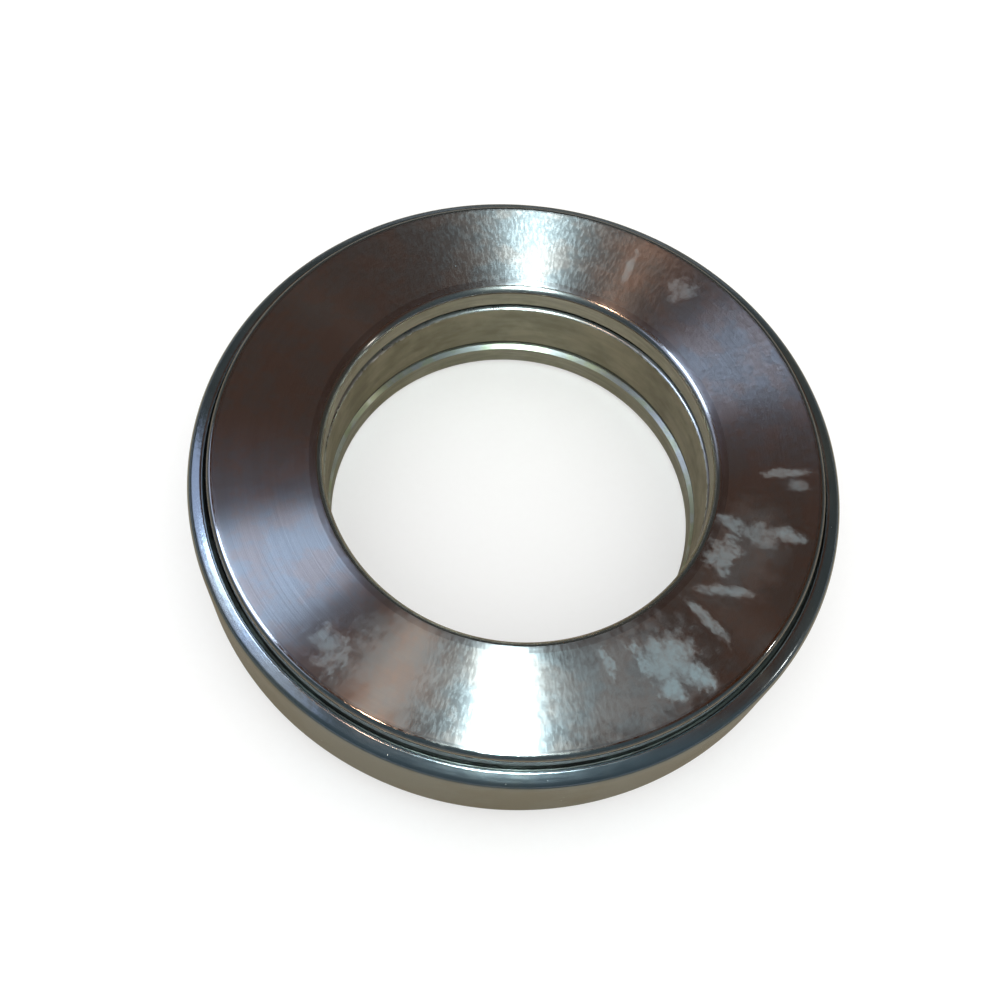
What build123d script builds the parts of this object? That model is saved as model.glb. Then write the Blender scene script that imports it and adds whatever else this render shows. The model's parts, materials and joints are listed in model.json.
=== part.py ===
from build123d import *
import os
from math import cos, radians, sin, tan

# Banded single-direction thrust ball bearing of the clutch-release kind.
# Millimetres. +Z is the bearing axis, and the origin is the centre of the seat face.
# The seat side stays still, and the pressure washer on top turns on the balls.

os.makedirs("parts", exist_ok=True)

# Overall sizes
bore_diameter = 63.5
band_diameter = 108.0
overall_height = 23.0

# Rolling elements
ball_diameter = 12.7
ball_count = 14
groove_conformity = 0.53  # groove radius over ball diameter
groove_depth = 1.55
race_clearance = 0.02  # between a ball and the bottom of each groove

# Seat washer: the still race, which stands on the carrier
seat_web = 5.75  # metal under the groove
seat_step_width = 4.7  # from the band's outside to the boss below it
seat_boss_gap = 0.3  # between the boss and the edge of the band's flange
seat_bore_chamfer = 0.7
seat_foot_chamfer = 0.6

# Outer band: one pressed ring, turned in at both ends
band_wall = 1.2
band_lip_drop = 2.5  # from the pressure face down to the lip's inner edge
band_lip_width = 2.75
band_lip_slope = 24  # degrees that the lip falls towards the wall
band_lip_bend = 1.7
band_flange_height = 2.6  # underside of the flange above the seat face
band_flange_bend = 3.0
band_edge_round = 0.4
band_fit_gap = 0.03  # around the seat washer

# Inner sleeve: a pressed ring with a foot turned out onto the seat washer
sleeve_wall = 1.0
sleeve_recess = 0.2  # behind the seat washer's bore
sleeve_foot_width = 2.25
sleeve_foot_depth = 2.25  # how far the foot is let into the seat washer
sleeve_foot_gap = 0.05
sleeve_tip_gap = 1.4  # under the pressure washer
sleeve_tip_round = 0.45
sleeve_bend = 1.8  # outside of the bend

# Pressure washer: the turning race
pressure_bore_clearance = 0.25
pressure_bore_length = 4.5
pressure_tip_gap = 0.5  # from the sleeve's outside to the wall of the recess round it
lip_side_gap = 0.75  # the dark ring between the washer and the lip
retaining_rib_gap = 0.6  # from the rib to the band's wall, and under the lip at the wall
inner_relief_width = 0.6
outer_relief_width = 0.6
relief_drop = 0.13
inner_corner_width = 1.6
outer_corner_width = 1.3
corner_drop = 1.3
washer_edge_break = 0.4

# Cage: two pressed halves, riveted between the balls
cage_sheet = 0.9
cage_ball_gap = 0.15
cage_race_gap = 0.92  # from each half to the washer that it faces
cage_land_width = 10.0
rivet_shank_diameter = 1.8
rivet_head_diameter = 3.0
rivet_head_height = 0.7
rivet_hole_gap = 0.05

# Sizes worked out from the ones above
bore_radius = bore_diameter / 2
band_outer_radius = band_diameter / 2
band_inner_radius = band_outer_radius - band_wall
lip_inner_radius = band_outer_radius - band_lip_width
lip_top = overall_height - band_lip_drop
lip_fall = tan(radians(band_lip_slope))  # height lost for each mm outwards
lip_wall_top = lip_top - band_lip_width * lip_fall
lip_underside = lip_top - band_wall / cos(radians(band_lip_slope))
lip_wall_underside = lip_underside - (band_lip_width - band_wall) * lip_fall
flange_top = band_flange_height + band_wall

sleeve_inner_radius = bore_radius + sleeve_recess
sleeve_outer_radius = sleeve_inner_radius + sleeve_wall
foot_outer_radius = sleeve_outer_radius + sleeve_foot_width

ball_radius = ball_diameter / 2
pitch_radius = (sleeve_outer_radius + band_inner_radius) / 2
groove_radius = groove_conformity * ball_diameter
ball_centre_height = seat_web + race_clearance + ball_radius
seat_top = seat_web + groove_depth
seat_recess_floor = seat_top - sleeve_foot_depth
pressure_underside = ball_centre_height + ball_radius + race_clearance - groove_depth
pressure_bore_bottom = overall_height - pressure_bore_length
sleeve_top = pressure_bore_bottom - sleeve_tip_gap

ball_step = 360 / ball_count
cage_shell_radius = ball_radius + cage_ball_gap + cage_sheet
cage_half_height = ball_radius + race_clearance - groove_depth - cage_race_gap


def ring_edges(part, radius, height):
    """The circular edges of this radius that lie at this height."""
    return part.edges().filter_by(
        lambda edge: edge.geom_type == GeomType.CIRCLE
        and abs(edge.radius - radius) < 1e-4
        and abs(edge.center().Z - height) < 1e-4
    )


def on_circle(radius, angle, height):
    """A point at this radius, angle in degrees and height."""
    return (radius * cos(radians(angle)), radius * sin(radians(angle)), height)


# Seat washer
seat_outer_radius = band_inner_radius - band_fit_gap
boss_radius = band_outer_radius - seat_step_width
groove_centre_seat = seat_web + groove_radius

with BuildPart() as seat_washer:
    with BuildSketch(Plane.XZ):
        with BuildLine():
            Polyline(
                (bore_radius, 0),
                (boss_radius, 0),
                (boss_radius, flange_top),
                (seat_outer_radius, flange_top),
                (seat_outer_radius, seat_top),
                (foot_outer_radius + sleeve_foot_gap, seat_top),
                (foot_outer_radius + sleeve_foot_gap, seat_recess_floor),
                (bore_radius, seat_recess_floor),
                close=True,
            )
        make_face()
        with Locations((pitch_radius, groove_centre_seat)):
            Circle(groove_radius, mode=Mode.SUBTRACT)
    revolve(axis=Axis.Z)
    chamfer(ring_edges(seat_washer, bore_radius, seat_recess_floor), seat_bore_chamfer)
    chamfer(ring_edges(seat_washer, bore_radius, 0), seat_foot_chamfer)
    chamfer(ring_edges(seat_washer, boss_radius, 0), seat_foot_chamfer)
    band_bend_clearance = band_flange_bend - band_wall + washer_edge_break / 4
    fillet(ring_edges(seat_washer, seat_outer_radius, flange_top), band_bend_clearance)
    chamfer(ring_edges(seat_washer, seat_outer_radius, seat_top), washer_edge_break)
seat_washer.part.label = "seat_washer"
export_step(seat_washer.part, "parts/seat_washer.step")

# Outer band
flange_inner_radius = boss_radius + seat_boss_gap

with BuildPart() as outer_band:
    with BuildSketch(Plane.XZ):
        with BuildLine():
            Polyline(
                (lip_inner_radius, lip_top),
                (band_outer_radius, lip_wall_top),
                (band_outer_radius, band_flange_height),
                (flange_inner_radius, band_flange_height),
                (flange_inner_radius, flange_top),
                (band_inner_radius, flange_top),
                (band_inner_radius, lip_wall_underside),
                (lip_inner_radius, lip_underside),
                close=True,
            )
        make_face()
    revolve(axis=Axis.Z)
    fillet(ring_edges(outer_band, band_outer_radius, lip_wall_top), band_lip_bend)
    fillet(ring_edges(outer_band, band_inner_radius, lip_wall_underside), band_lip_bend - band_wall)
    fillet(ring_edges(outer_band, band_outer_radius, band_flange_height), band_flange_bend)
    fillet(ring_edges(outer_band, band_inner_radius, flange_top), band_flange_bend - band_wall)
    for height in (lip_top, lip_underside):
        fillet(ring_edges(outer_band, lip_inner_radius, height), band_edge_round)
    for height in (band_flange_height, flange_top):
        fillet(ring_edges(outer_band, flange_inner_radius, height), band_edge_round)
outer_band.part.label = "outer_band"
export_step(outer_band.part, "parts/outer_band.step")

# Inner sleeve
foot_top = seat_recess_floor + sleeve_wall

with BuildPart() as inner_sleeve:
    with BuildSketch(Plane.XZ):
        with BuildLine():
            Polyline(
                (sleeve_inner_radius, seat_recess_floor),
                (foot_outer_radius, seat_recess_floor),
                (foot_outer_radius, foot_top),
                (sleeve_outer_radius, foot_top),
                (sleeve_outer_radius, sleeve_top),
                (sleeve_inner_radius, sleeve_top),
                close=True,
            )
        make_face()
    revolve(axis=Axis.Z)
    fillet(ring_edges(inner_sleeve, sleeve_inner_radius, seat_recess_floor), sleeve_bend)
    fillet(ring_edges(inner_sleeve, sleeve_outer_radius, foot_top), sleeve_bend - sleeve_wall)
    for radius in (sleeve_inner_radius, sleeve_outer_radius):
        fillet(ring_edges(inner_sleeve, radius, sleeve_top), sleeve_tip_round)
inner_sleeve.part.label = "inner_sleeve"
export_step(inner_sleeve.part, "parts/inner_sleeve.step")

# Pressure washer
pressure_bore_radius = bore_radius + pressure_bore_clearance
recess_radius = sleeve_outer_radius + pressure_tip_gap
washer_side_radius = lip_inner_radius - lip_side_gap
rib_radius = band_inner_radius - retaining_rib_gap
rib_top = lip_wall_underside - retaining_rib_gap
relief_height = overall_height - relief_drop
corner_height = overall_height - corner_drop
inner_corner_radius = pressure_bore_radius + inner_corner_width
inner_flat_radius = inner_corner_radius + inner_relief_width
outer_corner_radius = washer_side_radius - outer_corner_width
outer_flat_radius = outer_corner_radius - outer_relief_width
groove_centre_pressure = ball_centre_height + ball_radius + race_clearance - groove_radius

with BuildPart() as pressure_washer:
    with BuildSketch(Plane.XZ):
        with BuildLine():
            Polyline(
                (inner_corner_radius, relief_height),
                (inner_flat_radius, overall_height),
                (outer_flat_radius, overall_height),
                (outer_corner_radius, relief_height),
            )
            RadiusArc(
                (outer_corner_radius, relief_height),
                (washer_side_radius, corner_height),
                outer_corner_width * 1.1,
            )
            Polyline(
                (washer_side_radius, corner_height),
                (washer_side_radius, rib_top),
                (rib_radius, rib_top),
                (rib_radius, pressure_underside),
                (recess_radius, pressure_underside),
                (recess_radius, pressure_bore_bottom),
                (pressure_bore_radius, pressure_bore_bottom),
                (pressure_bore_radius, corner_height),
            )
            RadiusArc(
                (pressure_bore_radius, corner_height),
                (inner_corner_radius, relief_height),
                inner_corner_width * 1.1,
            )
        make_face()
        with Locations((pitch_radius, groove_centre_pressure)):
            Circle(groove_radius, mode=Mode.SUBTRACT)
    revolve(axis=Axis.Z)
    for height in (rib_top, pressure_underside):
        chamfer(ring_edges(pressure_washer, rib_radius, height), washer_edge_break)
    chamfer(ring_edges(pressure_washer, pressure_bore_radius, pressure_bore_bottom), washer_edge_break / 2)
pressure_washer.part.label = "pressure_washer"
export_step(pressure_washer.part, "parts/pressure_washer.step")

# Cage halves: a flat land on the ball centres' plane, domed over each ball, with a window for it
half_step = ball_step / 2


def make_cage_half(side):
    """One pressed half: side is 1 above the plane of the ball centres and -1 below it."""
    slab_height = ball_centre_height + side * cage_half_height / 2
    land_height = ball_centre_height + side * cage_sheet / 2
    with BuildPart() as half:
        with Locations((0, 0, land_height)):
            Cylinder(pitch_radius + cage_land_width / 2, cage_sheet)
            Cylinder(pitch_radius - cage_land_width / 2, cage_sheet, mode=Mode.SUBTRACT)
        with Locations((0, 0, ball_centre_height)):
            with PolarLocations(pitch_radius, ball_count):
                Sphere(cage_shell_radius)
        with Locations((0, 0, slab_height)):
            Cylinder(band_inner_radius, cage_half_height, mode=Mode.INTERSECT)
        with Locations((0, 0, ball_centre_height)):
            with PolarLocations(pitch_radius, ball_count):
                Sphere(ball_radius + cage_ball_gap, mode=Mode.SUBTRACT)
            with PolarLocations(pitch_radius, ball_count, start_angle=half_step):
                Cylinder(rivet_shank_diameter / 2 + rivet_hole_gap, 4 * cage_sheet, mode=Mode.SUBTRACT)
    return half.part


for side, name in ((1, "cage_upper_half"), (-1, "cage_lower_half")):
    cage_half = make_cage_half(side)
    cage_half.label = name
    export_step(cage_half, f"parts/{name}.step")

# Cage rivets: one between each pair of balls, headed on both sides
with BuildPart() as cage_rivets:
    with BuildSketch(Plane.XY.offset(ball_centre_height)):
        with PolarLocations(pitch_radius, ball_count, start_angle=half_step):
            Circle(rivet_shank_diameter / 2)
    extrude(amount=cage_sheet, both=True)
    for side in (1, -1):
        with BuildSketch(Plane.XY.offset(ball_centre_height + side * cage_sheet)):
            with PolarLocations(pitch_radius, ball_count, start_angle=half_step):
                Circle(rivet_head_diameter / 2)
        extrude(amount=side * rivet_head_height)
    head_rims = cage_rivets.edges().filter_by(GeomType.CIRCLE).group_by(Axis.Z)
    fillet(head_rims[0] + head_rims[-1], rivet_head_height * 0.6)
cage_rivets.part.label = "cage_rivets"
export_step(cage_rivets.part, "parts/cage_rivets.step")

# Balls
for number in range(ball_count):
    with BuildPart() as ball:
        with Locations(on_circle(pitch_radius, number * ball_step, ball_centre_height)):
            Sphere(ball_radius)
    ball.part.label = f"ball_{number + 1:02d}"
    export_step(ball.part, f"parts/{ball.part.label}.step")
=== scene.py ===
import json
import math

import bpy
from mathutils import Matrix, Vector, noise


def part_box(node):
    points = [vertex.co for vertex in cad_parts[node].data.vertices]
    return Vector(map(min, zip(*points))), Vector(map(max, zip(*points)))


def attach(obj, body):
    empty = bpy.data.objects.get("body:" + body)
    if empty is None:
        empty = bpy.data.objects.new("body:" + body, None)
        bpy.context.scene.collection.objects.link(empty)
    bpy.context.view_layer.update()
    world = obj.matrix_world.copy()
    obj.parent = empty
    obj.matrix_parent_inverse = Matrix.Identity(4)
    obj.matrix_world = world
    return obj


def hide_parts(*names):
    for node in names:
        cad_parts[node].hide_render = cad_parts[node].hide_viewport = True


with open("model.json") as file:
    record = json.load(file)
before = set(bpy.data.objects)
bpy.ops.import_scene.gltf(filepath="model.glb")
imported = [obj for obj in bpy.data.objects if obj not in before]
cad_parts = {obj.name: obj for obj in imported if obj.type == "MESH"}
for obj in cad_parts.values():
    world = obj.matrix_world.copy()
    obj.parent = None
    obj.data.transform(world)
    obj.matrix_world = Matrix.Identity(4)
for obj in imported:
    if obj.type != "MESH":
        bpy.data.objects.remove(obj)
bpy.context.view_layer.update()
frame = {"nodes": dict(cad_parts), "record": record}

scene = bpy.context.scene
mm = 0.001
onTop = 0.001  # mm within which a face counts as part of the flat top
onBore = 0.01  # mm within which it counts as part of a bore's wall

# radii and heights in mm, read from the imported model, which the pieces below are built to
mounts = {mount["name"]: mount for mount in frame["record"]["mounts"]}
seatBore = mounts["carrier_bore"]["dims"]["r_mm"]
washerBore = mounts["shaft_clearance_bore"]["dims"]["r_mm"]
bandOutside = mounts["band_outside"]["dims"]["r_mm"]


def heightsOf(node):
    low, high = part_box(node)
    return low.z / mm, high.z / mm


washerBottom, washerTop = heightsOf("pressure_washer")
bandBottom = heightsOf("outer_band")[0]
seatBottom, seatTop = heightsOf("seat_washer")
sleeveBottom, sleeveTop = heightsOf("inner_sleeve")
print("frame loaded,", len(frame["nodes"]), "nodes")


# camera

cameraView = {
    "lens": 44.3,
    "height": 0.1994,  # above the floor
    "back": 0.0949,  # in front of the bearing's axis
    "left": 0.0021,
    "tilt": 25.94,  # degrees up from straight down
    "roll": 9.34,
}


def makeCamera(view):
    data = bpy.data.cameras.new("viewCamera")
    data.lens = view["lens"]
    data.sensor_width = 36
    data.clip_start = 0.005
    camera = bpy.data.objects.new("viewCamera", data)
    place = Matrix.Translation((-view["left"], -view["back"], view["height"]))
    tilt = Matrix.Rotation(math.radians(view["tilt"]), 4, "X")
    roll = Matrix.Rotation(math.radians(view["roll"]), 4, "Z")
    camera.matrix_world = place @ tilt @ roll
    scene.collection.objects.link(camera)
    scene.camera = camera


makeCamera(cameraView)
print("camera placed")


# shader building

def node(tree, kind, inputs=None, **settings):
    made = tree.nodes.new("ShaderNode" + kind)
    for key, value in settings.items():
        setattr(made, key, value)
    for key, value in (inputs or {}).items():
        connect(tree, value, made.inputs[key])
    return made


def connect(tree, value, socket):
    if isinstance(value, bpy.types.NodeSocket):
        tree.links.new(value, socket)
    else:
        socket.default_value = value


def calculate(tree, operation, *values):
    return node(tree, "Math", dict(enumerate(values)), operation=operation).outputs[0]


def vectorMath(tree, operation, first, second=None, scale=None):
    inputs = {0: first}
    if second is not None:
        inputs[1] = second
    if scale is not None:
        inputs["Scale"] = scale
    return node(tree, "VectorMath", inputs, operation=operation).outputs[0]


def lengthOf(tree, vector):
    return node(tree, "VectorMath", {0: vector}, operation="LENGTH").outputs["Value"]


def combine(tree, x=0.0, y=0.0, z=0.0):
    return node(tree, "CombineXYZ", {0: x, 1: y, 2: z}).outputs[0]


def separate(tree, vector):
    return node(tree, "SeparateXYZ", {0: vector}).outputs


def turnAboutAxis(tree, vector, angle):
    inputs = {"Vector": vector, "Angle": angle}
    return node(tree, "VectorRotate", inputs, rotation_type="Z_AXIS").outputs[0]


def remap(tree, value, fromLow, fromHigh, toLow=0.0, toHigh=1.0, smooth=False):
    kind = "SMOOTHSTEP" if smooth else "LINEAR"
    spans = {"From Min": fromLow, "From Max": fromHigh, "To Min": toLow, "To Max": toHigh}
    return node(tree, "MapRange", {"Value": value, **spans}, interpolation_type=kind).outputs[0]


def mixColour(tree, factor, first, second, blend="MIX"):
    mixed = node(tree, "Mix", {0: factor, 6: first, 7: second}, data_type="RGBA", blend_type=blend)
    return mixed.outputs[2]


def noiseValue(tree, vector, scale, detail=2.0, roughness=0.5):
    inputs = {"Vector": vector, "Scale": scale, "Detail": detail, "Roughness": roughness}
    return node(tree, "TexNoise", inputs).outputs[0]


def maskAround(tree, value, middle, spread):
    # soft step from 0 to 1 as the value passes the middle
    low = calculate(tree, "SUBTRACT", middle, spread)
    high = calculate(tree, "ADD", middle, spread)
    return remap(tree, value, low, high, smooth=True)


def newGroup(name, inputs, outputs):
    group = bpy.data.node_groups.new(name, "ShaderNodeTree")
    for socket, value in inputs.items():
        made = group.interface.new_socket(name=socket, in_out="INPUT", socket_type="NodeSocketFloat")
        made.default_value = value
    for socket, kind in outputs.items():
        group.interface.new_socket(name=socket, in_out="OUTPUT", socket_type="NodeSocket" + kind)
    entry = group.nodes.new("NodeGroupInput")
    leave = group.nodes.new("NodeGroupOutput")
    return group, entry.outputs, leave.inputs


def useGroup(tree, group, **values):
    used = tree.nodes.new("ShaderNodeGroup")
    used.node_tree = group
    for key, value in values.items():
        connect(tree, value, used.inputs[key])
    return used.outputs


def makePlaceGroup():
    # where a point is round the axis: radius and height in mm, and the unit vector out to it
    outputs = {"Radius": "Float", "Height": "Float", "Around": "Vector", "Place": "Vector"}
    group, _, leave = newGroup("turnedPlace", {}, outputs)
    where = node(group, "TexCoord").outputs["Object"]
    place = vectorMath(group, "SCALE", where, scale=1 / mm)
    parts = separate(group, place)
    flat = combine(group, parts[0], parts[1])
    connect(group, lengthOf(group, flat), leave["Radius"])
    connect(group, parts[2], leave["Height"])
    connect(group, vectorMath(group, "NORMALIZE", flat), leave["Around"])
    connect(group, place, leave["Place"])
    return group


placeGroup = makePlaceGroup()


def alongLines(tree, place, across, drift):
    # a place in the noise that changes fast from line to line and slowly along a line
    along = vectorMath(tree, "SCALE", place["Around"], scale=drift)
    return vectorMath(tree, "ADD", along, combine(tree, z=across))


def makeGrainGroup():
    # tool lines that run round the axis, stacked along Across, and broader bands of them
    bandPitch = 0.22
    inputs = {"Across": 0.0, "Spacing": 0.3, "Drift": 2.0}
    group, entry, leave = newGroup("ringGrain", inputs, {"Lines": "Float", "Bands": "Float"})
    place = useGroup(group, placeGroup)
    stacked = calculate(group, "DIVIDE", entry["Across"], entry["Spacing"])
    fine = alongLines(group, place, stacked, entry["Drift"])
    broad = alongLines(group, place, calculate(group, "MULTIPLY", stacked, bandPitch), entry["Drift"])
    connect(group, noiseValue(group, fine, 1.0, 3.0, 0.6), leave["Lines"])
    connect(group, noiseValue(group, broad, 1.0, 2.0, 0.5), leave["Bands"])
    return group


grainGroup = makeGrainGroup()


def makeTiltGroup():
    # the surface normal, leaning in and out from one grinding line to the next
    inputs = {"Across": 0.0, "Spacing": 0.1, "Lean": 1.0}
    group, entry, leave = newGroup("ringTilt", inputs, {"Normal": "Vector"})
    place = useGroup(group, placeGroup)
    stacked = calculate(group, "DIVIDE", entry["Across"], entry["Spacing"])
    line = noiseValue(group, alongLines(group, place, stacked, 2.0), 1.0, 1.0, 0.5)
    lean = calculate(group, "MULTIPLY", calculate(group, "SUBTRACT", line, 0.5), entry["Lean"])
    toWorld = dict(convert_from="OBJECT", convert_to="WORLD")
    outward = node(group, "VectorTransform", {0: place["Around"]}, **toWorld).outputs[0]
    surface = node(group, "NewGeometry").outputs["Normal"]
    tilted = vectorMath(group, "ADD", surface, vectorMath(group, "SCALE", outward, scale=lean))
    connect(group, vectorMath(group, "NORMALIZE", tilted), leave["Normal"])
    return group


tiltGroup = makeTiltGroup()


def makePatchGroup():
    # soft blotches of film, Size mm across, covering the share Cover of the surface
    group, entry, leave = newGroup("filmPatches", {"Size": 12.0, "Cover": 0.5}, {"Mask": "Float"})
    place = useGroup(group, placeGroup)
    blotch = noiseValue(group, place["Place"], calculate(group, "DIVIDE", 1.0, entry["Size"]), 4.0, 0.6)
    middle = remap(group, entry["Cover"], 0.0, 1.0, 0.7, 0.3)
    connect(group, maskAround(group, blotch, middle, 0.1), leave["Mask"])
    return group


patchGroup = makePatchGroup()


def makeWipeGroup():
    # marks of a wiping rag: Round mm wide round the ring and Out mm long across it
    meanRadius = 40.0
    inputs = {"Round": 0.8, "Out": 5.0, "Cover": 0.5}
    group, entry, leave = newGroup("wipeMarks", inputs, {"Mask": "Float", "Streaks": "Float"})
    place = useGroup(group, placeGroup)
    turns = calculate(group, "DIVIDE", meanRadius, entry["Round"])
    outward = calculate(group, "DIVIDE", place["Radius"], entry["Out"])
    streaks = noiseValue(group, alongLines(group, place, outward, turns), 1.0, 3.0, 0.65)
    middle = remap(group, entry["Cover"], 0.0, 1.0, 0.7, 0.3)
    connect(group, maskAround(group, streaks, middle, 0.08), leave["Mask"])
    connect(group, streaks, leave["Streaks"])
    return group


wipeGroup = makeWipeGroup()


smearInputs = {"Angle": 0.0, "Radius": 40.0, "Round": 5.0, "Out": 5.0, "Turn": 0.0, "Ragged": 0.45}


def makeSmearGroup():
    # one finger smear centred at Angle degrees and Radius mm, reaching Round mm each way round the ring
    # and Out mm each way across it before it is turned by Turn degrees; Ragged breaks its edge and body
    group, entry, leave = newGroup("greaseSmear", smearInputs, {"Mask": "Float"})
    place = useGroup(group, placeGroup)
    back = calculate(group, "MULTIPLY", calculate(group, "RADIANS", entry["Angle"]), -1.0)
    home = turnAboutAxis(group, place["Place"], back)
    fromCentre = vectorMath(group, "SUBTRACT", home, combine(group, entry["Radius"]))
    parts = separate(group, turnAboutAxis(group, fromCentre, calculate(group, "RADIANS", entry["Turn"])))
    outward = calculate(group, "DIVIDE", parts[0], entry["Out"])
    around = calculate(group, "DIVIDE", parts[1], entry["Round"])
    reach = lengthOf(group, combine(group, outward, around))
    broad = useGroup(group, wipeGroup, Round=1.8, Out=2.6)["Streaks"]
    fine = useGroup(group, wipeGroup, Round=0.9, Out=1.2)["Streaks"]
    frayed = remap(group, broad, 0.3, 0.7, 1.0, -1.0)
    edge = calculate(group, "MULTIPLY_ADD", frayed, entry["Ragged"], reach)
    body = remap(group, edge, 1.0, 0.3, smooth=True)
    holes = calculate(group, "MULTIPLY", remap(group, fine, 0.36, 0.55, 1.0, 0.0), entry["Ragged"])
    whole = calculate(group, "SUBTRACT", 1.0, holes)
    connect(group, calculate(group, "MULTIPLY", body, whole), leave["Mask"])
    return group


smearGroup = makeSmearGroup()


def makePitGroup():
    # scattered specks and pits, one cell every Size mm, of which the share Cover holds a pit
    inputs = {"Size": 2.0, "Cover": 0.2, "Radius": 0.08}
    group, entry, leave = newGroup("pits", inputs, {"Mask": "Float"})
    place = useGroup(group, placeGroup)
    scale = calculate(group, "DIVIDE", 1.0, entry["Size"])
    cells = node(group, "TexVoronoi", {"Vector": place["Place"], "Scale": scale}, feature="F1")
    chosen = node(group, "SeparateColor", {0: cells.outputs["Color"]}).outputs[0]
    here = calculate(group, "LESS_THAN", chosen, entry["Cover"])
    outer = calculate(group, "DIVIDE", entry["Radius"], entry["Size"])
    inner = calculate(group, "MULTIPLY", outer, 0.4)
    disc = remap(group, cells.outputs["Distance"], outer, inner, smooth=True)
    connect(group, calculate(group, "MULTIPLY", disc, here), leave["Mask"])
    return group


pitGroup = makePitGroup()


def makeWearGroup():
    # rubbed metal within Reach mm of the place Edge along Across, broken up along its length
    inputs = {"Across": 0.0, "Edge": 0.0, "Reach": 0.4}
    group, entry, leave = newGroup("edgeWear", inputs, {"Mask": "Float"})
    place = useGroup(group, placeGroup)
    away = calculate(group, "ABSOLUTE", calculate(group, "SUBTRACT", entry["Across"], entry["Edge"]))
    share = calculate(group, "DIVIDE", away, entry["Reach"])
    broken = remap(group, noiseValue(group, place["Place"], 0.9, 4.0, 0.6), 0.3, 0.7, 0.0, 0.8)
    frayed = calculate(group, "ADD", share, broken)
    connect(group, remap(group, frayed, 1.0, 0.6, smooth=True), leave["Mask"])
    return group


wearGroup = makeWearGroup()


def newMaterial(name):
    material = bpy.data.materials.new(name)
    material.use_nodes = True
    tree = material.node_tree
    tree.nodes.clear()
    shader = node(tree, "BsdfPrincipled", {"Metallic": 1.0})
    leave = node(tree, "OutputMaterial")
    tree.links.new(shader.outputs[0], leave.inputs["Surface"])
    return material, tree, shader


def brushRound(tree, shader, amount):
    # lines that run round the axis spread light across themselves, and hardly along themselves
    tangent = node(tree, "Tangent", direction_type="RADIAL", axis="Z")
    tree.links.new(tangent.outputs[0], shader.inputs["Tangent"])
    shader.inputs["Anisotropic"].default_value = amount
    shader.inputs["Anisotropic Rotation"].default_value = 0.25


def setBump(tree, shader, height, distance, normal=None):
    bump = node(tree, "Bump", {"Height": height, "Distance": distance * mm})
    if normal:
        connect(tree, normal, bump.inputs["Normal"])
    tree.links.new(bump.outputs[0], shader.inputs["Normal"])


turnedFinish = {
    "pitShare": 0.35,  # share of the pit cells that hold a pit
    "pitRoughness": 0.25,
    "wornRoughness": -0.08,  # rubbed edges are smoother
}


def turnedSteel(name, look):
    # steel with tool lines round the axis, a patchy film and specks
    # a look may also name a rubbed edge, grease smears, or grinding lines that lean the normal
    material, tree, shader = newMaterial(name)
    place = useGroup(tree, placeGroup)
    across = place[look["across"]]
    grain = useGroup(tree, grainGroup, Across=across, Spacing=look["lineSpacing"], Drift=look["drift"])
    patch = useGroup(tree, patchGroup, Size=look["filmSize"], Cover=look["filmCover"])["Mask"]
    pitLook = dict(Size=look["pitSpacing"], Cover=turnedFinish["pitShare"], Radius=look["pitRadius"])
    pit = useGroup(tree, pitGroup, **pitLook)["Mask"]
    colour = mixColour(tree, patch, look["steel"], look["film"])
    banded = remap(tree, grain["Bands"], 0.35, 0.65, 1 - look["banding"], 1 + look["banding"])
    grey = node(tree, "CombineColor", {0: banded, 1: banded, 2: banded}).outputs[0]
    colour = mixColour(tree, 1.0, colour, grey, "MULTIPLY")
    colour = mixColour(tree, pit, colour, look["pitColour"])
    lines = calculate(tree, "SUBTRACT", grain["Lines"], 0.5)
    rough = calculate(tree, "MULTIPLY_ADD", lines, look["lineRoughness"], look["roughness"])
    rough = calculate(tree, "MULTIPLY_ADD", patch, look["filmRoughness"], rough)
    rough = calculate(tree, "MULTIPLY_ADD", pit, turnedFinish["pitRoughness"], rough)
    if "wornAt" in look:
        wornLook = dict(Across=across, Edge=look["wornAt"], Reach=look["wornReach"])
        worn = useGroup(tree, wearGroup, **wornLook)["Mask"]
        colour = mixColour(tree, worn, colour, look["wornColour"])
        rough = calculate(tree, "MULTIPLY_ADD", worn, turnedFinish["wornRoughness"], rough)
    if "smears" in look:
        wipeLook = dict(Round=look["wipeRound"], Out=look["wipeOut"], Cover=look["wipeCover"])
        wiped = useGroup(tree, wipeGroup, **wipeLook)["Mask"]
        rough = calculate(tree, "MULTIPLY_ADD", wiped, look["wipeRoughness"], rough)
        smeared = pit  # grease sits in the pits too
        for *smear, strength in look["smears"]:
            mask = useGroup(tree, smearGroup, **dict(zip(smearInputs, smear)))["Mask"]
            smeared = calculate(tree, "MAXIMUM", smeared, calculate(tree, "MULTIPLY", mask, strength))
        # the smears' colour is real grease with painted teal sheen
        colour = mixColour(tree, smeared, colour, look["smearColour"])
        rough = calculate(tree, "MULTIPLY_ADD", smeared, look["smearRoughness"], rough)
        metallic = calculate(tree, "MULTIPLY_ADD", smeared, -look["smearHaze"], 1.0)
        connect(tree, metallic, shader.inputs["Metallic"])
    ridges = calculate(tree, "MULTIPLY", grain["Lines"], look["lineHeight"])
    tilted = None
    if "lean" in look:
        leanLook = dict(Across=across, Spacing=look["leanSpacing"], Lean=look["lean"])
        tilted = useGroup(tree, tiltGroup, **leanLook)["Normal"]
    setBump(tree, shader, calculate(tree, "MULTIPLY_ADD", pit, -1.0, ridges), look["relief"], tilted)
    connect(tree, colour, shader.inputs["Base Color"])
    connect(tree, rough, shader.inputs["Roughness"])
    brushRound(tree, shader, look["brushed"])
    return material


# turned rings: an outline of radius and height in mm, swept round the axis

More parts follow.
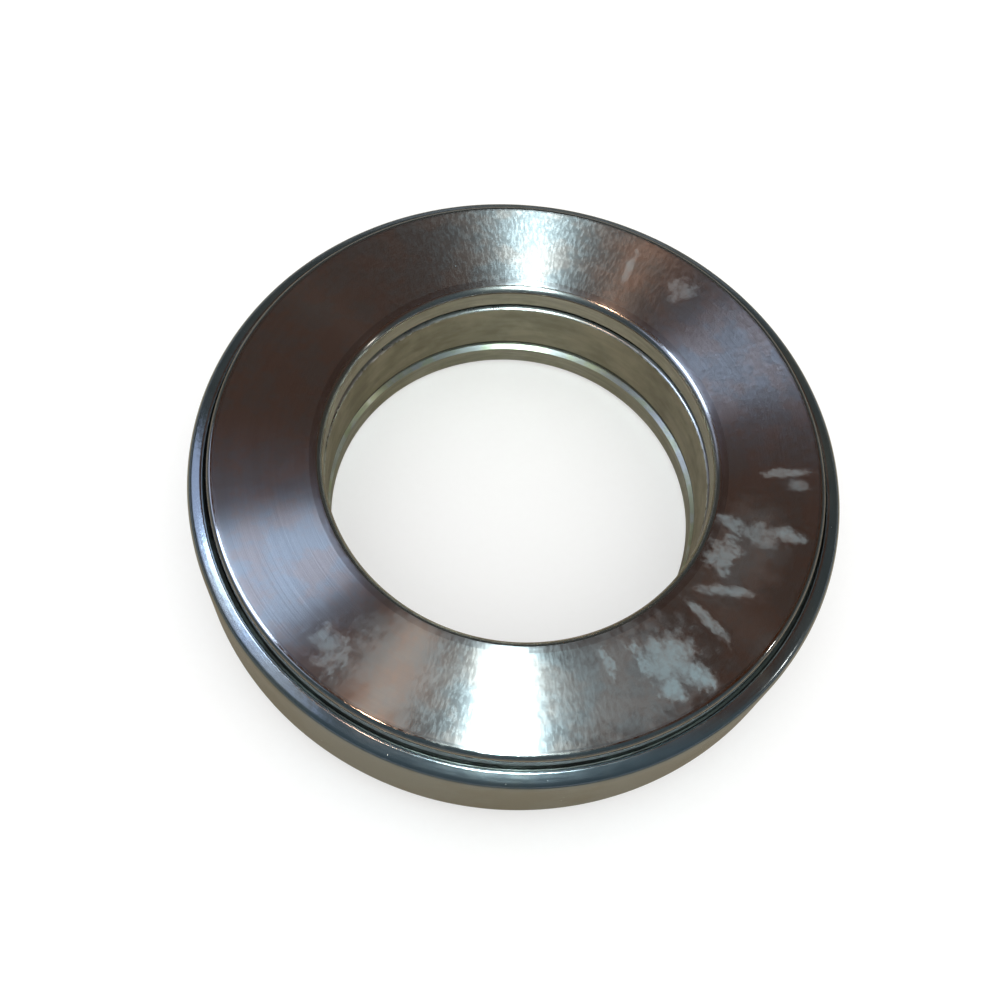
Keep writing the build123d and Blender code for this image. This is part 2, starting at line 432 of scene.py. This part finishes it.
def roundedOutline(corners, arcSteps=8):
    # corners are (radius, height, rounding), clockwise round the section
    points = []
    for index, (radius, height, rounding) in enumerate(corners):
        here = Vector((radius, height))
        if rounding == 0:
            points.append(here)
            continue
        before = (Vector(corners[index - 1][:2]) - here).normalized()
        after = (Vector(corners[(index + 1) % len(corners)][:2]) - here).normalized()
        half = before.angle(after) / 2
        centre = here + (before + after).normalized() * rounding / math.sin(half)
        start = here + before * rounding / math.tan(half) - centre
        end = here + after * rounding / math.tan(half) - centre
        sweep = start.angle_signed(end)
        for step in range(arcSteps + 1):
            points.append(centre + Matrix.Rotation(-sweep * step / arcSteps, 2) @ start)
    return points


def grooveCorners(centre, height, radius, level, steps=24):
    # the ball groove's arc as seen in the section, from where it meets the face at this level
    half = math.acos(abs(level - height) / radius)
    side = 1 if level > height else -1
    corners = []
    for step in range(steps + 1):
        angle = half * (2 * step / steps - 1)
        corners.append((centre + radius * math.sin(angle), height + side * radius * math.cos(angle), 0))
    return corners


def arcCorners(start, end, radius, steps=12):
    # a convex arc of this radius from start to end, with the metal on its right
    start, end = Vector(start), Vector(end)
    along = (end - start).normalized()
    right = Vector((along.y, -along.x))
    reach = math.sqrt(radius ** 2 - ((end - start).length / 2) ** 2)
    centre = (start + end) / 2 + right * reach
    sweep = (start - centre).angle_signed(end - centre)
    turns = [Matrix.Rotation(-sweep * step / steps, 2) @ (start - centre) for step in range(steps + 1)]
    return [(*(centre + turn), 0) for turn in turns]


def heldOutline(points, hold):
    # points close to both ends of each long straight keep it flat when it is shaded smooth
    held = []
    for index, here in enumerate(points):
        there = points[(index + 1) % len(points)]
        span = there - here
        held.append(here)
        if span.length > 4 * hold:
            held.append(here + span.normalized() * hold)
            held.append(there - span.normalized() * hold)
    return held


def turnedRing(name, corners, segments=360, hold=0.1, shape=None):
    outline = heldOutline(roundedOutline(corners), hold)
    count = len(outline)
    vertices = []
    for segment in range(segments):
        angle = 2 * math.pi * segment / segments
        for point in outline:
            radius, height = shape(point[0], point[1], angle) if shape else point
            vertices.append((radius * mm * math.cos(angle), radius * mm * math.sin(angle), height * mm))
    faces = []
    for segment in range(segments):
        here, there = segment * count, (segment + 1) % segments * count
        for i in range(count):
            j = (i + 1) % count
            faces.append((here + i, here + j, there + j, there + i))
    mesh = bpy.data.meshes.new(name)
    mesh.from_pydata(vertices, [], faces)
    mesh.update()
    mesh.polygons.foreach_set("use_smooth", [True] * len(mesh.polygons))
    mesh.set_sharp_from_angle(angle=math.radians(35))
    piece = bpy.data.objects.new(name, mesh)
    scene.collection.objects.link(piece)
    return piece


def waveAt(sizes, angle, height):
    # slow wave round and up a pressed ring, from -1 to 1
    across = sizes["rippleRound"] * math.cos(angle)
    along = sizes["rippleRound"] * math.sin(angle)
    return noise.noise(Vector((across, along, height / sizes["rippleHeight"])))


def giveSteels(piece, looks, choose):
    # looks holds the steel of each named part; choose(radius, height, normal) in mm names a face's part
    names = list(looks)
    for name, look in looks.items():
        piece.data.materials.append(turnedSteel(name, look))
    for face in piece.data.polygons:
        radius = math.hypot(face.center.x, face.center.y) / mm
        face.material_index = names.index(choose(radius, face.center.z / mm, face.normal))


def placePiece(piece, body, nodeName):
    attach(piece, body)
    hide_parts(nodeName)


# pressure washer: the turning race, with the wide ground face

washer = {
    "side": 50.5,
    "rib": 52.2,
    "ribTop": 17.89,
    "sideShows": 20.0,  # the side wall can be seen above this height
    "recess": 33.45,
    "recessRound": 0.15,
    "boreBottom": 18.5,
    "shoulderRound": 0.2,
    "innerCorner": 1.6,  # width of the rounded edge at the bore
    "innerRelief": 0.6,  # width of the slightly tilted ring beside it
    "outerCorner": 1.0,
    "outerRelief": 0.3,
    "reliefDrop": 0.06,
    "cornerDrop": 1.3,
    "cornerCurve": 1.1,  # radius of a corner as a share of its width
    "cornerTopUp": 0.94,  # the inner corner is ground like the face where its normal points up this far
    "edgeBreak": 0.3,
    "grooveCentre": (42.875, 11.759),
    "grooveRadius": 6.731,
}
groundFace = {
    "across": "Radius",
    "steel": (0.585, 0.61, 0.62, 1),
    "film": (0.635, 0.565, 0.53, 1),
    "filmSize": 6.0,
    "filmCover": 0.5,
    "filmRoughness": 0.015,
    "roughness": 0.30,
    "lineRoughness": 0.018,
    "lean": 0.62,
    "leanSpacing": 0.015,
    "lineSpacing": 0.22,
    "lineHeight": 0.4,
    "drift": 3.0,
    "banding": 0.015,
    "pitSpacing": 3.4,
    "pitRadius": 0.13,
    "pitColour": (0.30, 0.26, 0.22, 1),
    "relief": 0.001,
    "brushed": 1.0,
    "wipeRound": 0.4,
    "wipeOut": 1.3,
    "wipeCover": 0.45,
    "wipeRoughness": 0.07,
    # each is angle, radius, reach round the ring, reach across it, turn, raggedness, strength
    "smears": [
        (-49.0, 41.3, 6.4, 6.2, 0.0, 0.26, 0.85),
        (-54.5, 39.5, 1.4, 6.4, 0.0, 0.45, 0.8),
        (-51.5, 45.2, 2.6, 3.6, 0.0, 0.3, 0.95),
        (-45.5, 45.6, 2.2, 3.8, 0.0, 0.3, 0.95),
        (-36.0, 40.3, 1.2, 6.4, 6.0, 0.45, 0.6),
        (-61.5, 38.0, 1.3, 4.4, 0.0, 0.45, 0.75),
        (-27.5, 39.5, 1.3, 5.6, -30.0, 0.3, 0.6),
        (-20.0, 36.3, 4.2, 3.6, 0.0, 0.4, 0.6),
        (-10.5, 36.0, 1.9, 3.4, 0.0, 0.4, 0.55),
        (-11.0, 40.6, 3.0, 4.4, 0.0, 0.35, 0.45),
        (-9.0, 44.4, 1.7, 4.2, 0.0, 0.3, 0.65),
        (5.5, 43.8, 1.1, 5.2, -8.0, 0.4, 0.5),
        (3.0, 45.6, 1.5, 3.4, 0.0, 0.4, 0.35),
        (-122.0, 44.6, 4.4, 4.0, 0.0, 0.55, 0.45),
        (58.0, 44.0, 2.6, 3.6, 0.0, 0.6, 0.3),
        (71.0, 43.0, 1.0, 5.0, 0.0, 0.45, 0.4),
        # thin haze: wide faint smears, painted teal sheen of the flash's glow
        (-60.0, 41.5, 17.0, 13.0, 0.0, 0.2, 0.36),
        (-16.0, 39.0, 12.0, 8.0, 0.0, 0.2, 0.12),
        (-108.0, 41.5, 11.0, 13.0, 0.0, 0.2, 0.36),
    ],
    # grease colour, tinted teal as painted sheen of the flash's glow; the lowered metallic lets it show
    "smearColour": (0.40, 0.53, 0.57, 1),
    "smearRoughness": 0.2,
    "smearHaze": 0.42,  # how far the grease hides the steel's mirror
}
washerCorner = {
    "across": "Radius",
    "steel": (0.60, 0.58, 0.55, 1),
    "film": (0.50, 0.47, 0.42, 1),
    "filmSize": 9.0,
    "filmCover": 0.4,
    "filmRoughness": 0.04,
    "roughness": 0.16,
    "lineRoughness": 0.06,
    "lineSpacing": 0.12,
    "lineHeight": 0.15,
    "drift": 6.0,
    "banding": 0.08,
    "pitSpacing": 1.5,
    "pitRadius": 0.09,
    "pitColour": (0.32, 0.28, 0.24, 1),
    "relief": 0.003,
    "brushed": 0.6,
}
rubbedCorner = dict(washerCorner, wornAt=49.9, wornReach=0.6, wornColour=(0.72, 0.71, 0.69, 1))
# darker copies of the ground face: painted shade on the tilted relief rings and on the top of the inner
# corner
washerRelief = dict(groundFace, roughness=0.29, steel=(0.50, 0.49, 0.49, 1), film=(0.47, 0.44, 0.43, 1))
cornerTop = dict(washerRelief, steel=(0.52, 0.51, 0.52, 1), film=(0.46, 0.43, 0.42, 1))
# lighter, teal-tinted copy of the corner steel: painted teal sheen on the visible top of the side wall
washerSide = dict(
    washerCorner,
    across="Height",
    steel=(0.74, 0.78, 0.78, 1),
    film=(0.62, 0.66, 0.65, 1),
    roughness=0.3,
)
turnedBore = {
    "across": "Height",
    "steel": (0.55, 0.54, 0.47, 1),
    "film": (0.47, 0.45, 0.36, 1),
    "filmSize": 11.0,
    "filmCover": 0.5,
    "filmRoughness": 0.05,
    "roughness": 0.33,
    "lineRoughness": 0.12,
    "lineSpacing": 0.16,
    "lineHeight": 0.6,
    "drift": 5.0,
    "banding": 0.12,
    "pitSpacing": 2.2,
    "pitRadius": 0.12,
    "pitColour": (0.30, 0.26, 0.20, 1),
    "relief": 0.005,
    "brushed": 0.7,
}
raceSteel = {
    "across": "Radius",
    "steel": (0.55, 0.53, 0.49, 1),
    "film": (0.46, 0.43, 0.35, 1),
    "filmSize": 10.0,
    "filmCover": 0.5,
    "filmRoughness": 0.05,
    "roughness": 0.3,
    "lineRoughness": 0.1,
    "lineSpacing": 0.2,
    "lineHeight": 0.5,
    "drift": 4.0,
    "banding": 0.1,
    "pitSpacing": 2.4,
    "pitRadius": 0.12,
    "pitColour": (0.30, 0.26, 0.20, 1),
    "relief": 0.004,
    "brushed": 0.6,
}
# near-black copy of the race steel: painted shade on the rib and the lower side wall down in the gap
# under the lip
gapShadeSteel = dict(
    raceSteel,
    steel=(0.10, 0.11, 0.10, 1),
    film=(0.05, 0.05, 0.045, 1),
    roughness=0.42,
    brushed=0.2,
)


def makeWasher(sizes):
    groove = grooveCorners(*sizes["grooveCentre"], sizes["grooveRadius"], washerBottom)
    broken, shoulder = sizes["edgeBreak"], sizes["shoulderRound"]
    reliefTop = washerTop - sizes["reliefDrop"]
    cornerLow = washerTop - sizes["cornerDrop"]
    reliefInner = washerBore + sizes["innerCorner"]
    reliefOuter = sizes["side"] - sizes["outerCorner"]
    flatInner = reliefInner + sizes["innerRelief"]
    flatOuter = reliefOuter - sizes["outerRelief"]
    innerCurve = sizes["innerCorner"] * sizes["cornerCurve"]
    outerCurve = sizes["outerCorner"] * sizes["cornerCurve"]
    corners = [
        (flatInner, washerTop, 0),
        (flatOuter, washerTop, 0),
        *arcCorners((reliefOuter, reliefTop), (sizes["side"], cornerLow), outerCurve),
        (sizes["side"], sizes["sideShows"], 0),
        (sizes["side"], sizes["ribTop"], shoulder),
        (sizes["rib"], sizes["ribTop"], broken),
        (sizes["rib"], washerBottom, broken),
        *reversed(groove),
        (sizes["recess"], washerBottom, 0),
        (sizes["recess"], sizes["boreBottom"], sizes["recessRound"]),
        (washerBore, sizes["boreBottom"], shoulder),
        *arcCorners((washerBore, cornerLow), (reliefInner, reliefTop), innerCurve),
    ]
    piece = turnedRing("pressureWasher", corners)
    looks = {
        "groundFace": groundFace,
        "washerRelief": washerRelief,
        "washerCorner": rubbedCorner,
        "washerBore": turnedBore,
        "washerSide": washerSide,
        "washerGap": gapShadeSteel,
        "cornerTop": cornerTop,
    }

    def choose(radius, height, normal):
        if radius < reliefInner and normal.z > sizes["cornerTopUp"]:
            return "cornerTop"
        if height > washerTop - onTop:
            return "groundFace"
        if height > reliefTop and reliefInner < radius < reliefOuter:
            return "washerRelief"
        if height > cornerLow:
            return "washerCorner"
        if radius < washerBore + onBore:
            return "washerBore"
        # above sideShows the side wall gets the lighter painted teal sheen copy; below it, the near-black
        # painted gap shade
        return "washerSide" if height > sizes["sideShows"] and radius > flatOuter else "washerGap"

    giveSteels(piece, looks, choose)
    placePiece(piece, "pressure_side", "pressure_washer")


makeWasher(washer)
print("pressure washer made")


# seat washer: the still race, seen from outside only under the band and at the bottom of the bore

seat = {
    "side": 52.77,
    "boss": 49.3,
    "flangeTop": 3.8,
    "bandBend": 1.9,
    "recess": 35.25,
    "recessFloor": 5.05,
    "boreChamfer": 0.7,
    "footChamfer": 0.6,
    "bossRound": 0.1,
    "edgeBreak": 0.4,
    "grooveCentre": (42.875, 12.481),
    "grooveRadius": 6.731,
}
# lighter, greener copy of the bore steel: painted highlight on the chamfer at the foot of the bore
seatChamfer = dict(
    turnedBore,
    across="Radius",
    steel=(0.78, 0.78, 0.74, 1),
    film=(0.66, 0.68, 0.48, 1),
    filmSize=5.0,
    roughness=0.3,
)


def makeSeat(sizes):
    foot, broken = sizes["footChamfer"], sizes["edgeBreak"]
    corners = [
        (seatBore + sizes["boreChamfer"], sizes["recessFloor"], 0),
        (sizes["recess"], sizes["recessFloor"], 0),
        (sizes["recess"], seatTop, 0),
        *grooveCorners(*sizes["grooveCentre"], sizes["grooveRadius"], seatTop),
        (sizes["side"] - broken, seatTop, 0),
        (sizes["side"], seatTop - broken, 0),
        (sizes["side"], sizes["flangeTop"], sizes["bandBend"]),
        (sizes["boss"], sizes["flangeTop"], sizes["bossRound"]),
        (sizes["boss"], foot, 0),
        (sizes["boss"] - foot, seatBottom, 0),
        (seatBore + foot, seatBottom, 0),
        (seatBore, foot, 0),
        (seatBore, sizes["recessFloor"] - sizes["boreChamfer"], 0),
    ]
    piece = turnedRing("seatWasher", corners)
    looks = {"seatRace": raceSteel, "seatBore": turnedBore, "seatChamfer": seatChamfer}

    def choose(radius, height, normal):
        if radius < seatBore + onBore:
            return "seatBore"
        return "seatChamfer" if radius < seatBore + sizes["boreChamfer"] else "seatRace"

    giveSteels(piece, looks, choose)
    placePiece(piece, "seat_side", "seat_washer")


makeSeat(seat)
print("seat washer made")


# inner sleeve: the pressed ring between the two bores

sleeve = {
    "inside": 31.95,
    "wall": 1.0,
    "foot": 35.2,
    "tipRound": 0.45,
    "footRound": 0.1,
    "bend": 1.8,
    "ripple": 0.02,  # mm that the pressed wall is out of round
    "rippleRound": 3,  # how fast the wave changes round the ring
    "rippleHeight": 20,  # mm over which it changes up the ring
}
sleeveSteel = dict(
    turnedBore,
    steel=(0.45, 0.42, 0.33, 1),
    film=(0.35, 0.32, 0.24, 1),
    roughness=0.36,
    lineSpacing=0.35,
    wornAt=sleeveTop,
    wornReach=0.7,
    wornColour=(0.80, 0.80, 0.76, 1),
)
# near-black copy of the bore steel: painted shade in the sleeve's bent foot
sleeveCrease = dict(turnedBore, steel=(0.12, 0.12, 0.09, 1), film=(0.07, 0.07, 0.05, 1), roughness=0.4)


def makeSleeve(sizes):
    outside = sizes["inside"] + sizes["wall"]
    footTop = sleeveBottom + sizes["wall"]
    corners = [
        (sizes["inside"], sleeveTop, sizes["tipRound"]),
        (outside, sleeveTop, sizes["tipRound"]),
        (outside, footTop, sizes["bend"] - sizes["wall"]),
        (sizes["foot"], footTop, sizes["footRound"]),
        (sizes["foot"], sleeveBottom, sizes["footRound"]),
        (sizes["inside"], sleeveBottom, sizes["bend"]),
    ]

    def shape(radius, height, angle):
        return radius + sizes["ripple"] * waveAt(sizes, angle, height), height

    piece = turnedRing("innerSleeve", corners, shape=shape)

    def choose(radius, height, normal):
        # the bent foot gets the painted shade
        return "sleeveCrease" if height < sleeveBottom + sizes["bend"] else "sleeveSteel"

    giveSteels(piece, {"sleeveSteel": sleeveSteel, "sleeveCrease": sleeveCrease}, choose)
    placePiece(piece, "seat_side", "inner_sleeve")


makeSleeve(sleeve)
print("inner sleeve made")


# outer band: the pressed ring turned in over both washers

band = {
    "wall": 1.2,
    "lipInside": 51.25,
    "lipTop": 20.5,
    "lipSlope": 24.0,  # degrees that the lip falls towards the wall
    "crownAt": 1.2,  # the lip is crowned this far out from its inner edge
    "crownSlope": 23.0,
    "crownRound": 5.0,
    "lipBend": 1.7,
    "flangeInside": 49.6,
    "flangeBend": 3.0,
    "edgeRound": 0.4,
    "ripple": 0.03,  # mm that the rolled sheet is out of true
    "rippleRound": 5,
    "rippleHeight": 9,
}
bandSteel = {
    "steel": (0.52, 0.58, 0.62, 1),
    "film": (0.48, 0.50, 0.47, 1),
    "filmSize": 14.0,
    "filmCover": 0.4,
    "roughness": 0.165,
    "filmRoughness": 0.06,
    "dentSize": 1.1,
    "dentDepth": 0.018,
    "calmBelow": (15.0, 18.0),  # the wall below the rolled lip is smoother
    "calmShare": 0.25,
    "pitSpacing": 1.8,
    "pitRadius": 0.13,
    "pitColour": (0.34, 0.33, 0.30, 1),
}


sheetFinish = {
    "lineSpacing": 0.5,
    "drift": 8.0,
    "lineRoughness": 0.12,
    "pitShare": 0.4,
    "pitRoughness": 0.2,
    "pitDepth": -0.6,  # as a share of the dents
}


def platedSteel(name, look):
    # smooth plated sheet with shallow dents, a patchy film and pits
    material, tree, shader = newMaterial(name)
    place = useGroup(tree, placeGroup)
    lineLook = dict(Spacing=sheetFinish["lineSpacing"], Drift=sheetFinish["drift"])
    grain = useGroup(tree, grainGroup, Across=place["Height"], **lineLook)
    patch = useGroup(tree, patchGroup, Size=look["filmSize"], Cover=look["filmCover"])["Mask"]
    pitLook = dict(Size=look["pitSpacing"], Cover=sheetFinish["pitShare"], Radius=look["pitRadius"])
    pit = useGroup(tree, pitGroup, **pitLook)["Mask"]
    colour = mixColour(tree, patch, look["steel"], look["film"])
    colour = mixColour(tree, pit, colour, look["pitColour"])
    rough = calculate(tree, "MULTIPLY_ADD", patch, look["filmRoughness"], look["roughness"])
    lines = calculate(tree, "SUBTRACT", grain["Lines"], 0.5)
    rough = calculate(tree, "MULTIPLY_ADD", lines, sheetFinish["lineRoughness"], rough)
    rough = calculate(tree, "MULTIPLY_ADD", pit, sheetFinish["pitRoughness"], rough)
    calm = remap(tree, place["Height"], *look["calmBelow"], look["calmShare"], 1.0, smooth=True)
    dents = noiseValue(tree, place["Place"], 1 / look["dentSize"], 2.0, 0.5)
    dents = calculate(tree, "MULTIPLY", dents, calm)
    height = calculate(tree, "MULTIPLY_ADD", pit, sheetFinish["pitDepth"], dents)
    setBump(tree, shader, height, look["dentDepth"])
    connect(tree, colour, shader.inputs["Base Color"])
    connect(tree, rough, shader.inputs["Roughness"])
    return material


def makeBand(sizes):
    edge, wall = sizes["edgeRound"], sizes["wall"]
    slope = math.radians(sizes["lipSlope"])
    fall = math.tan(slope)
    lipUnder = sizes["lipTop"] - wall / math.cos(slope)
    reach = bandOutside - sizes["lipInside"]
    crown = sizes["lipTop"] - sizes["crownAt"] * math.tan(math.radians(sizes["crownSlope"]))
    corners = [
        (sizes["lipInside"], sizes["lipTop"], edge),
        (sizes["lipInside"] + sizes["crownAt"], crown, sizes["crownRound"]),
        (bandOutside, sizes["lipTop"] - reach * fall, sizes["lipBend"]),
        (bandOutside, bandBottom, sizes["flangeBend"]),
        (sizes["flangeInside"], bandBottom, edge),
        (sizes["flangeInside"], bandBottom + wall, edge),
        (bandOutside - wall, bandBottom + wall, sizes["flangeBend"] - wall),
        (bandOutside - wall, lipUnder - (reach - wall) * fall, sizes["lipBend"] - wall),
        (sizes["lipInside"], lipUnder, edge),
    ]

    def shape(radius, height, angle):
        return radius - sizes["ripple"] * (0.5 + 0.5 * waveAt(sizes, angle, height)), height

    piece = turnedRing("outerBand", corners, shape=shape)
    piece.data.materials.append(platedSteel("bandSteel", bandSteel))
    placePiece(piece, "seat_side", "outer_band")


makeBand(band)
print("outer band made")


# the CAD pieces inside: cage, rivets and balls

cageLook = dict(bandSteel, steel=(0.47, 0.46, 0.43, 1), film=(0.38, 0.35, 0.29, 1), roughness=0.32)
rivetLook = dict(bandSteel, steel=(0.55, 0.54, 0.52, 1), film=(0.43, 0.40, 0.34, 1), roughness=0.28)
ballLook = {
    "steel": (0.78, 0.78, 0.79, 1),
    "film": (0.66, 0.65, 0.62, 1),
    "filmSize": 5.0,
    "filmCover": 0.3,
    "roughness": 0.06,
    "filmRoughness": 0.06,
    "dentSize": 2.0,
    "dentDepth": 0.0004,
    "calmBelow": (0.0, 1.0),
    "calmShare": 1.0,
    "pitSpacing": 2.0,
    "pitRadius": 0.05,
    "pitColour": (0.45, 0.43, 0.40, 1),
}


def dressNodes(names, material):
    for name in names:
        mesh = frame["nodes"][name].data
        mesh.materials.clear()
        mesh.materials.append(material)


dressNodes(["cage_upper_half", "cage_lower_half"], platedSteel("cageSteel", cageLook))
dressNodes(["cage_rivets"], platedSteel("rivetSteel", rivetLook))
ballNames = [name for name in frame["nodes"] if name.startswith("ball_")]
dressNodes(ballNames, platedSteel("ballSteel", ballLook))
print("cage, rivets and balls dressed")


# floor and surroundings

room = {
    "floorSize": 3.0,
    "floorPale": (0.60, 0.60, 0.59, 1),
    "floorGlow": 0.4,  # keeps the shadow on the paper faint
    "fibre": (0.52, 0.51, 0.50, 1),
    "backdrop": (0.92, 0.92, 0.92, 1),
    "backdropLight": 1.42,
    # what the steel mirrors
    "floorNear": (0.29, 0.245, 0.175, 1),
    "floorFar": (0.035, 0.05, 0.056, 1),
    "nearReach": (75.0, 160.0),  # mm from the axis over which the mirrored floor darkens
    "ceiling": (0.045, 0.013, 0.002, 1),
    "ceilingRise": (0.5, 0.7),  # share of straight up over which the walls turn into ceiling
    "walls": (0.036, 0.042, 0.040, 1),
    "ahead": (0.040, 0.062, 0.075, 1),
    "aheadFade": (-0.08, -0.4),
    "sideLight": (0.35, 0.36, 0.38, 1),
    "sideLightFade": (0.1, 0.0),
}


def flatPanel(name, corners):
    mesh = bpy.data.meshes.new(name)
    mesh.from_pydata(corners, [], [(0, 1, 2, 3)])
    panel = bpy.data.objects.new(name, mesh)
    scene.collection.objects.link(panel)
    return panel, mesh


def makeFloor(look):
    half = look["floorSize"] / 2
    corners = [(-half, -half, 0), (half, -half, 0), (half, half, 0), (-half, half, 0)]
    floor, mesh = flatPanel("floor", corners)
    material, tree, shader = newMaterial("floorPaper")
    path = node(tree, "LightPath").outputs
    glow = calculate(tree, "MULTIPLY", path["Is Camera Ray"], look["floorGlow"])
    shader.inputs["Emission Color"].default_value = (1, 1, 1, 1)
    connect(tree, glow, shader.inputs["Emission Strength"])
    shader.inputs["Metallic"].default_value = 0.0
    shader.inputs["Roughness"].default_value = 0.9
    shader.inputs["Specular IOR Level"].default_value = 0.1
    place = useGroup(tree, placeGroup)
    fibre = remap(tree, noiseValue(tree, place["Place"], 0.8, 3.0), 0.3, 0.7, 0.0, 0.1)
    pale = mixColour(tree, fibre, look["floorPale"], look["fibre"])
    far = remap(tree, place["Radius"], *look["nearReach"], smooth=True)
    mirrored = mixColour(tree, far, look["floorNear"], look["floorFar"])
    colour = mixColour(tree, path["Is Glossy Ray"], pale, mirrored)
    connect(tree, colour, shader.inputs["Base Color"])
    mesh.materials.append(material)


def makeWorld(look):
    world = bpy.data.worlds.new("room")
    world.use_nodes = True
    scene.world = world
    tree = world.node_tree
    tree.nodes.clear()
    parts = separate(tree, node(tree, "TexCoord").outputs["Generated"])
    high = remap(tree, parts[2], *look["ceilingRise"], smooth=True)
    colour = mixColour(tree, high, look["walls"], look["ceiling"])
    ahead = remap(tree, parts[1], *look["aheadFade"], smooth=True)
    colour = mixColour(tree, ahead, colour, look["ahead"])
    low = remap(tree, parts[2], *look["sideLightFade"], smooth=True)
    colour = mixColour(tree, low, colour, look["sideLight"])
    mirrored = node(tree, "Background", {"Color": colour, "Strength": 1.0}).outputs[0]
    studio = {"Color": look["backdrop"], "Strength": look["backdropLight"]}
    plain = node(tree, "Background", studio).outputs[0]
    seenBy = node(tree, "LightPath").outputs["Is Glossy Ray"]
    mixed = node(tree, "MixShader", {0: seenBy, 1: plain, 2: mirrored}).outputs[0]
    connect(tree, mixed, node(tree, "OutputWorld").inputs["Surface"])


makeFloor(room)
makeWorld(room)
print("floor and room made")


# lights that the steel mirrors

lights = {
    "flash": {
        "place": (0.0176, -0.092, 0.2008),
        "size": (0.010, 0.006),
        "colour": (0.74, 0.95, 1.0),
        "radiance": 3050.0,
    },
    "lamp": {
        "place": (-0.375, -0.4425, 1.383),
        "size": (0.09, 0.09),
        "colour": (1.0, 0.62, 0.42),
        "radiance": 46.0,
    },
    "sideLamp": {
        "place": (1.86, -0.18, 0.72),
        "size": (0.06, 0.04),
        "colour": (1.0, 0.97, 0.92),
        "radiance": 60.0,
    },
}
panels = {
    "window": {
        "corners": [
            (-0.692, 0.229, 1.02),
            (-1.473, 0.081, 1.02),
            (-0.799, -0.298, 1.02),
            (-0.448, -0.001, 1.02),
        ],
        "colour": (0.59, 0.745, 1.0, 1),
        "radiance": 6.3,
    },
    "paleWall": {
        "corners": [(-1.30, 0.50, 1.03), (-2.60, 1.20, 1.03), (-2.20, -0.80, 1.03), (-0.62, -0.66, 1.03)],
        "colour": (0.62, 0.72, 1.0, 1),
        "radiance": 0.75,
    },
}


def makePanel(name, look):
    panel, mesh = flatPanel(name, look["corners"])
    material = bpy.data.materials.new(name + "Light")
    material.use_nodes = True
    tree = material.node_tree
    tree.nodes.clear()
    glow = node(tree, "Emission", {"Color": look["colour"], "Strength": look["radiance"]}).outputs[0]
    connect(tree, glow, node(tree, "OutputMaterial").inputs["Surface"])
    mesh.materials.append(material)
    panel.visible_camera = False
    panel.visible_diffuse = False
    panel.visible_shadow = False


def makeLight(name, light):
    data = bpy.data.lights.new(name, "AREA")
    data.shape = "RECTANGLE"
    data.size, data.size_y = light["size"]
    data.energy = light["radiance"] * math.pi * data.size * data.size_y
    data.color = light["colour"]
    lit = bpy.data.objects.new(name, data)
    lit.location = light["place"]
    towards = Vector((0, 0, washerTop * mm)) - lit.location
    lit.rotation_euler = towards.to_track_quat("-Z", "Y").to_euler()
    lit.visible_camera = False
    lit.visible_diffuse = False
    scene.collection.objects.link(lit)


for name, look in panels.items():
    makePanel(name, look)
for name, light in lights.items():
    makeLight(name, light)
scene.view_settings.view_transform = "Standard"
print("lights made")
